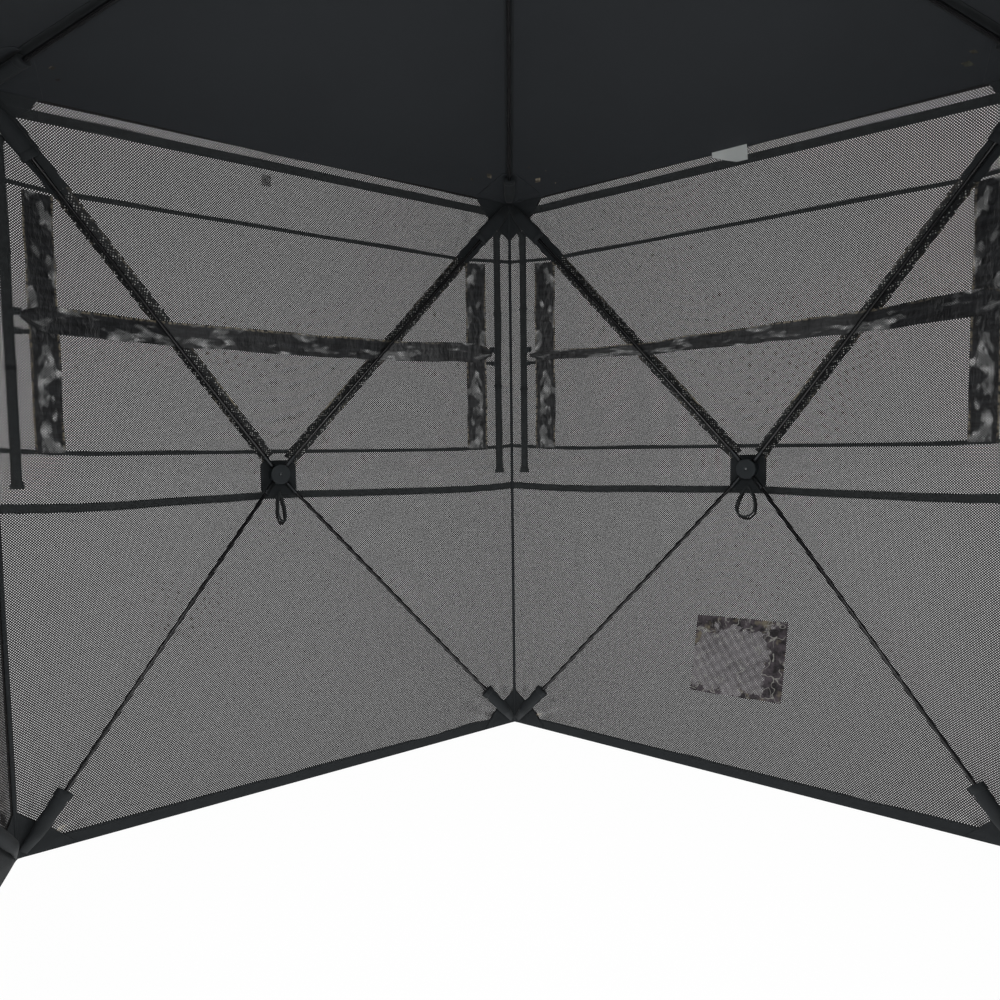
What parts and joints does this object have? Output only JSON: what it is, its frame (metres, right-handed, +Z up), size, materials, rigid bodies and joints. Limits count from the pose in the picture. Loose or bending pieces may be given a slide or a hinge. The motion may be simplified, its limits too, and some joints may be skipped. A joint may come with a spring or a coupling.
{
  "type": "pop up ground blind",
  "caption": "Five-sided hub blind of see-through cloth: popped-out walls and roof on coupled rods, door flap, sliding window curtains.",
  "frame": {"origin": "on the ground under the middle of the blind's outline", "axes": "+Z up, +Y towards the corner opposite the door wall, +X to the right seen from the door"},
  "size_m": [2.1624, 2.2702, 1.922],
  "materials": {
    "wall_mesh": "perforated see-through cloth, dark inside, camouflage outside",
    "roof_cloth": "coated opaque cloth, black inside",
    "curtain_cloth": "crinkled cloth, dark inside, camouflage outside",
    "hub_cover": "moulded, fine texture",
    "hub_body": "moulded, satin",
    "rod": "smooth black glass fibre"
  },
  "bodies": {
    "skins": {"back_left_wall": "wall_mesh", "back_right_wall": "wall_mesh", "left_wall": "wall_mesh", "right_wall": "wall_mesh", "front_wall": "wall_mesh", "roof_skin": "roof_cloth", "back_left_window_strip": "curtain_cloth", "back_right_window_strip": "curtain_cloth", "left_window_strip": "curtain_cloth", "right_window_strip": "curtain_cloth"},
    "back_left_hub": {"back_left_hub_body": "hub_body", "back_left_hub_cover": "hub_cover"},
    "back_left_rod_upper_right": {"back_left_rod_upper_right": "rod"},
    "back_left_rod_upper_left": {"back_left_rod_upper_left": "rod"},
    "back_left_rod_lower_left": {"back_left_rod_lower_left": "rod"},
    "back_left_rod_lower_right": {"back_left_rod_lower_right": "rod"},
    "back_right_hub": {"back_right_hub_body": "hub_body", "back_right_hub_cover": "hub_cover"},
    "back_right_rod_upper_right": {"back_right_rod_upper_right": "rod"},
    "back_right_rod_upper_left": {"back_right_rod_upper_left": "rod"},
    "back_right_rod_lower_left": {"back_right_rod_lower_left": "rod"},
    "back_right_rod_lower_right": {"back_right_rod_lower_right": "rod"},
    "left_hub": {"left_hub_body": "hub_body", "left_hub_cover": "hub_cover"},
    "left_rod_upper_right": {"left_rod_upper_right": "rod"},
    "left_rod_upper_left": {"left_rod_upper_left": "rod"},
    "left_rod_lower_left": {"left_rod_lower_left": "rod"},
    "left_rod_lower_right": {"left_rod_lower_right": "rod"},
    "right_hub": {"right_hub_body": "hub_body", "right_hub_cover": "hub_cover"},
    "right_rod_upper_right": {"right_rod_upper_right": "rod"},
    "right_rod_upper_left": {"right_rod_upper_left": "rod"},
    "right_rod_lower_left": {"right_rod_lower_left": "rod"},
    "right_rod_lower_right": {"right_rod_lower_right": "rod"},
    "front_hub": {"front_hub_body": "hub_body", "front_hub_cover": "hub_cover"},
    "front_rod_upper_right": {"front_rod_upper_right": "rod"},
    "front_rod_upper_left": {"front_rod_upper_left": "rod"},
    "front_rod_lower_left": {"front_rod_lower_left": "rod"},
    "front_rod_lower_right": {"front_rod_lower_right": "rod"},
    "roof_hub": {"roof_hub_body": "hub_body", "roof_hub_cover": "hub_cover"},
    "roof_rod_back": {"roof_rod_back": "rod"},
    "roof_rod_left": {"roof_rod_left": "rod"},
    "roof_rod_front_left": {"roof_rod_front_left": "rod"},
    "roof_rod_front_right": {"roof_rod_front_right": "rod"},
    "roof_rod_right": {"roof_rod_right": "rod"},
    "door": {"door_flap": "wall_mesh"},
    "back_left_curtain_left": {"back_left_curtain_left": "curtain_cloth"},
    "back_left_curtain_right": {"back_left_curtain_right": "curtain_cloth"},
    "back_right_curtain_left": {"back_right_curtain_left": "curtain_cloth"},
    "back_right_curtain_right": {"back_right_curtain_right": "curtain_cloth"},
    "left_curtain_left": {"left_curtain_left": "curtain_cloth"},
    "left_curtain_right": {"left_curtain_right": "curtain_cloth"},
    "right_curtain_left": {"right_curtain_left": "curtain_cloth"},
    "right_curtain_right": {"right_curtain_right": "curtain_cloth"}
  },
  "joints": [
    {"name": "back_left_hub_pop", "type": "slide", "parent": "skins", "child": "back_left_hub", "axis": [-0.5878, 0.809, 0], "range_m": [-0.4111, 0]},
    {"name": "back_left_rod_upper_right_swing", "type": "hinge", "parent": "back_left_hub", "child": "back_left_rod_upper_right", "pos_m": [-0.64286, 0.90506, 0.81309], "axis": [-0.6228, -0.4525, 0.6382], "range_deg": [-0.5, 24.62]},
    {"name": "back_left_rod_upper_left_swing", "type": "hinge", "parent": "back_left_hub", "child": "back_left_rod_upper_left", "pos_m": [-0.66042, 0.8923, 0.81309], "axis": [-0.6228, -0.4525, -0.6382], "range_deg": [-0.5, 24.62]},
    {"name": "back_left_rod_lower_left_swing", "type": "hinge", "parent": "back_left_hub", "child": "back_left_rod_lower_left", "pos_m": [-0.66042, 0.8923, 0.78691], "axis": [0.6228, 0.4525, -0.6382], "range_deg": [-0.5, 24.62]},
    {"name": "back_left_rod_lower_right_swing", "type": "hinge", "parent": "back_left_hub", "child": "back_left_rod_lower_right", "pos_m": [-0.64286, 0.90506, 0.78691], "axis": [0.6228, 0.4525, 0.6382], "range_deg": [-0.5, 24.62]},
    {"name": "back_right_hub_pop", "type": "slide", "parent": "skins", "child": "back_right_hub", "axis": [0.5878, 0.809, 0], "range_m": [-0.4111, 0]},
    {"name": "back_right_rod_upper_right_swing", "type": "hinge", "parent": "back_right_hub", "child": "back_right_rod_upper_right", "pos_m": [0.66042, 0.8923, 0.81309], "axis": [-0.6228, 0.4525, 0.6382], "range_deg": [-0.5, 24.62]},
    {"name": "back_right_rod_upper_left_swing", "type": "hinge", "parent": "back_right_hub", "child": "back_right_rod_upper_left", "pos_m": [0.64286, 0.90506, 0.81309], "axis": [-0.6228, 0.4525, -0.6382], "range_deg": [-0.5, 24.62]},
    {"name": "back_right_rod_lower_left_swing", "type": "hinge", "parent": "back_right_hub", "child": "back_right_rod_lower_left", "pos_m": [0.64286, 0.90506, 0.78691], "axis": [0.6228, -0.4525, -0.6382], "range_deg": [-0.5, 24.62]},
    {"name": "back_right_rod_lower_right_swing", "type": "hinge", "parent": "back_right_hub", "child": "back_right_rod_lower_right", "pos_m": [0.66042, 0.8923, 0.78691], "axis": [0.6228, -0.4525, 0.6382], "range_deg": [-0.5, 24.62]},
    {"name": "left_hub_pop", "type": "slide", "parent": "skins", "child": "left_hub", "axis": [-0.9511, -0.309, 0], "range_m": [-0.4111, 0]},
    {"name": "left_rod_upper_right_swing", "type": "hinge", "parent": "left_hub", "child": "left_rod_upper_right", "pos_m": [-1.05773, -0.33049, 0.81309], "axis": [0.2379, -0.7322, 0.6382], "range_deg": [-0.5, 24.62]},
    {"name": "left_rod_upper_left_swing", "type": "hinge", "parent": "left_hub", "child": "left_rod_upper_left", "pos_m": [-1.05102, -0.35113, 0.81309], "axis": [0.2379, -0.7322, -0.6382], "range_deg": [-0.5, 24.62]},
    {"name": "left_rod_lower_left_swing", "type": "hinge", "parent": "left_hub", "child": "left_rod_lower_left", "pos_m": [-1.05102, -0.35113, 0.78691], "axis": [-0.2379, 0.7322, -0.6382], "range_deg": [-0.5, 24.62]},
    {"name": "left_rod_lower_right_swing", "type": "hinge", "parent": "left_hub", "child": "left_rod_lower_right", "pos_m": [-1.05773, -0.33049, 0.78691], "axis": [-0.2379, 0.7322, 0.6382], "range_deg": [-0.5, 24.62]},
    {"name": "right_hub_pop", "type": "slide", "parent": "skins", "child": "right_hub", "axis": [0.9511, -0.309, 0], "range_m": [-0.4111, 0]},
    {"name": "right_rod_upper_right_swing", "type": "hinge", "parent": "right_hub", "child": "right_rod_upper_right", "pos_m": [1.05102, -0.35113, 0.81309], "axis": [0.2379, 0.7322, 0.6382], "range_deg": [-0.5, 24.62]},
    {"name": "right_rod_upper_left_swing", "type": "hinge", "parent": "right_hub", "child": "right_rod_upper_left", "pos_m": [1.05773, -0.33049, 0.81309], "axis": [0.2379, 0.7322, -0.6382], "range_deg": [-0.5, 24.62]},
    {"name": "right_rod_lower_left_swing", "type": "hinge", "parent": "right_hub", "child": "right_rod_lower_left", "pos_m": [1.05773, -0.33049, 0.78691], "axis": [-0.2379, -0.7322, -0.6382], "range_deg": [-0.5, 24.62]},
    {"name": "right_rod_lower_right_swing", "type": "hinge", "parent": "right_hub", "child": "right_rod_lower_right", "pos_m": [1.05102, -0.35113, 0.78691], "axis": [-0.2379, -0.7322, 0.6382], "range_deg": [-0.5, 24.62]},
    {"name": "front_hub_pop", "type": "slide", "parent": "skins", "child": "front_hub", "axis": [0, -1, 0], "range_m": [-0.4111, 0]},
    {"name": "front_rod_upper_right_swing", "type": "hinge", "parent": "front_hub", "child": "front_rod_upper_right", "pos_m": [-0.01085, -1.10686, 0.81309], "axis": [0.7698, 0, 0.6382], "range_deg": [-0.5, 24.62]},
    {"name": "front_rod_upper_left_swing", "type": "hinge", "parent": "front_hub", "child": "front_rod_upper_left", "pos_m": [0.01085, -1.10686, 0.81309], "axis": [0.7698, 0, -0.6382], "range_deg": [-0.5, 24.62]},
    {"name": "front_rod_lower_left_swing", "type": "hinge", "parent": "front_hub", "child": "front_rod_lower_left", "pos_m": [0.01085, -1.10686, 0.78691], "axis": [-0.7698, 0, -0.6382], "range_deg": [-0.5, 24.62]},
    {"name": "front_rod_lower_right_swing", "type": "hinge", "parent": "front_hub", "child": "front_rod_lower_right", "pos_m": [-0.01085, -1.10686, 0.78691], "axis": [-0.7698, 0, 0.6382], "range_deg": [-0.5, 24.62]},
    {"name": "roof_hub_pop", "type": "slide", "parent": "skins", "child": "roof_hub", "axis": [0, 0, 1], "range_m": [-0.5878, 0]},
    {"name": "roof_rod_back_swing", "type": "hinge", "parent": "roof_hub", "child": "roof_rod_back", "pos_m": [0, 0.01878, 1.89375], "axis": [1, 0, 0], "range_deg": [-0.5, 32.17]},
    {"name": "roof_rod_left_swing", "type": "hinge", "parent": "roof_hub", "child": "roof_rod_left", "pos_m": [-0.01617, 0.00703, 1.89375], "axis": [0.309, 0.9511, 0], "range_deg": [-0.5, 32.17]},
    {"name": "roof_rod_front_left_swing", "type": "hinge", "parent": "roof_hub", "child": "roof_rod_front_left", "pos_m": [-0.00999, -0.01198, 1.89375], "axis": [-0.809, 0.5878, 0], "range_deg": [-0.5, 32.17]},
    {"name": "roof_rod_front_right_swing", "type": "hinge", "parent": "roof_hub", "child": "roof_rod_front_right", "pos_m": [0.00999, -0.01198, 1.89375], "axis": [-0.809, -0.5878, 0], "range_deg": [-0.5, 32.17]},
    {"name": "roof_rod_right_swing", "type": "hinge", "parent": "roof_hub", "child": "roof_rod_right", "pos_m": [0.01617, 0.00703, 1.89375], "axis": [0.309, -0.9511, 0], "range_deg": [-0.5, 32.17]},
    {"name": "door_swing", "type": "hinge", "parent": "skins", "child": "door", "pos_m": [0.65925, -0.91111, 0.8], "axis": [0, 0, 1], "range_deg": [0, 135]},
    {"name": "back_left_curtain_left_slide", "type": "slide", "parent": "skins", "child": "back_left_curtain_left", "axis": [0.848, 0.5299, 0], "range_m": [0, 0.42], "deforming": ["back_left_curtain_left"]},
    {"name": "back_left_curtain_right_slide", "type": "slide", "parent": "skins", "child": "back_left_curtain_right", "axis": [-0.766, -0.6428, 0], "range_m": [0, 0.42], "deforming": ["back_left_curtain_right"]},
    {"name": "back_right_curtain_left_slide", "type": "slide", "parent": "skins", "child": "back_right_curtain_left", "axis": [0.766, -0.6428, 0], "range_m": [0, 0.42], "deforming": ["back_right_curtain_left"]},
    {"name": "back_right_curtain_right_slide", "type": "slide", "parent": "skins", "child": "back_right_curtain_right", "axis": [-0.848, 0.5299, 0], "range_m": [0, 0.42], "deforming": ["back_right_curtain_right"]},
    {"name": "left_curtain_left_slide", "type": "slide", "parent": "skins", "child": "left_curtain_left", "axis": [-0.2419, 0.9703, 0], "range_m": [0, 0.42], "deforming": ["left_curtain_left"]},
    {"name": "left_curtain_right_slide", "type": "slide", "parent": "skins", "child": "left_curtain_right", "axis": [0.3746, -0.9272, 0], "range_m": [0, 0.42], "deforming": ["left_curtain_right"]},
    {"name": "right_curtain_left_slide", "type": "slide", "parent": "skins", "child": "right_curtain_left", "axis": [-0.3746, -0.9272, 0], "range_m": [0, 0.42], "deforming": ["right_curtain_left"]},
    {"name": "right_curtain_right_slide", "type": "slide", "parent": "skins", "child": "right_curtain_right", "axis": [0.2419, 0.9703, 0], "range_m": [0, 0.42], "deforming": ["right_curtain_right"]}
  ],
  "couplings": [
    {"joint": "back_left_rod_upper_right_swing", "follows": "back_left_hub_pop", "rad_per_m": -1.0239},
    {"joint": "back_left_rod_upper_left_swing", "follows": "back_left_hub_pop", "rad_per_m": -1.0239},
    {"joint": "back_left_rod_lower_left_swing", "follows": "back_left_hub_pop", "rad_per_m": -1.0239},
    {"joint": "back_left_rod_lower_right_swing", "follows": "back_left_hub_pop", "rad_per_m": -1.0239},
    {"joint": "back_right_rod_upper_right_swing", "follows": "back_right_hub_pop", "rad_per_m": -1.0239},
    {"joint": "back_right_rod_upper_left_swing", "follows": "back_right_hub_pop", "rad_per_m": -1.0239},
    {"joint": "back_right_rod_lower_left_swing", "follows": "back_right_hub_pop", "rad_per_m": -1.0239},
    {"joint": "back_right_rod_lower_right_swing", "follows": "back_right_hub_pop", "rad_per_m": -1.0239},
    {"joint": "left_rod_upper_right_swing", "follows": "left_hub_pop", "rad_per_m": -1.0239},
    {"joint": "left_rod_upper_left_swing", "follows": "left_hub_pop", "rad_per_m": -1.0239},
    {"joint": "left_rod_lower_left_swing", "follows": "left_hub_pop", "rad_per_m": -1.0239},
    {"joint": "left_rod_lower_right_swing", "follows": "left_hub_pop", "rad_per_m": -1.0239},
    {"joint": "right_rod_upper_right_swing", "follows": "right_hub_pop", "rad_per_m": -1.0239},
    {"joint": "right_rod_upper_left_swing", "follows": "right_hub_pop", "rad_per_m": -1.0239},
    {"joint": "right_rod_lower_left_swing", "follows": "right_hub_pop", "rad_per_m": -1.0239},
    {"joint": "right_rod_lower_right_swing", "follows": "right_hub_pop", "rad_per_m": -1.0239},
    {"joint": "front_rod_upper_right_swing", "follows": "front_hub_pop", "rad_per_m": -1.0239},
    {"joint": "front_rod_upper_left_swing", "follows": "front_hub_pop", "rad_per_m": -1.0239},
    {"joint": "front_rod_lower_left_swing", "follows": "front_hub_pop", "rad_per_m": -1.0239},
    {"joint": "front_rod_lower_right_swing", "follows": "front_hub_pop", "rad_per_m": -1.0239},
    {"joint": "roof_rod_back_swing", "follows": "roof_hub_pop", "rad_per_m": -0.9402},
    {"joint": "roof_rod_left_swing", "follows": "roof_hub_pop", "rad_per_m": -0.9402},
    {"joint": "roof_rod_front_left_swing", "follows": "roof_hub_pop", "rad_per_m": -0.9402},
    {"joint": "roof_rod_front_right_swing", "follows": "roof_hub_pop", "rad_per_m": -0.9402},
    {"joint": "roof_rod_right_swing", "follows": "roof_hub_pop", "rad_per_m": -0.9402}
  ]
}
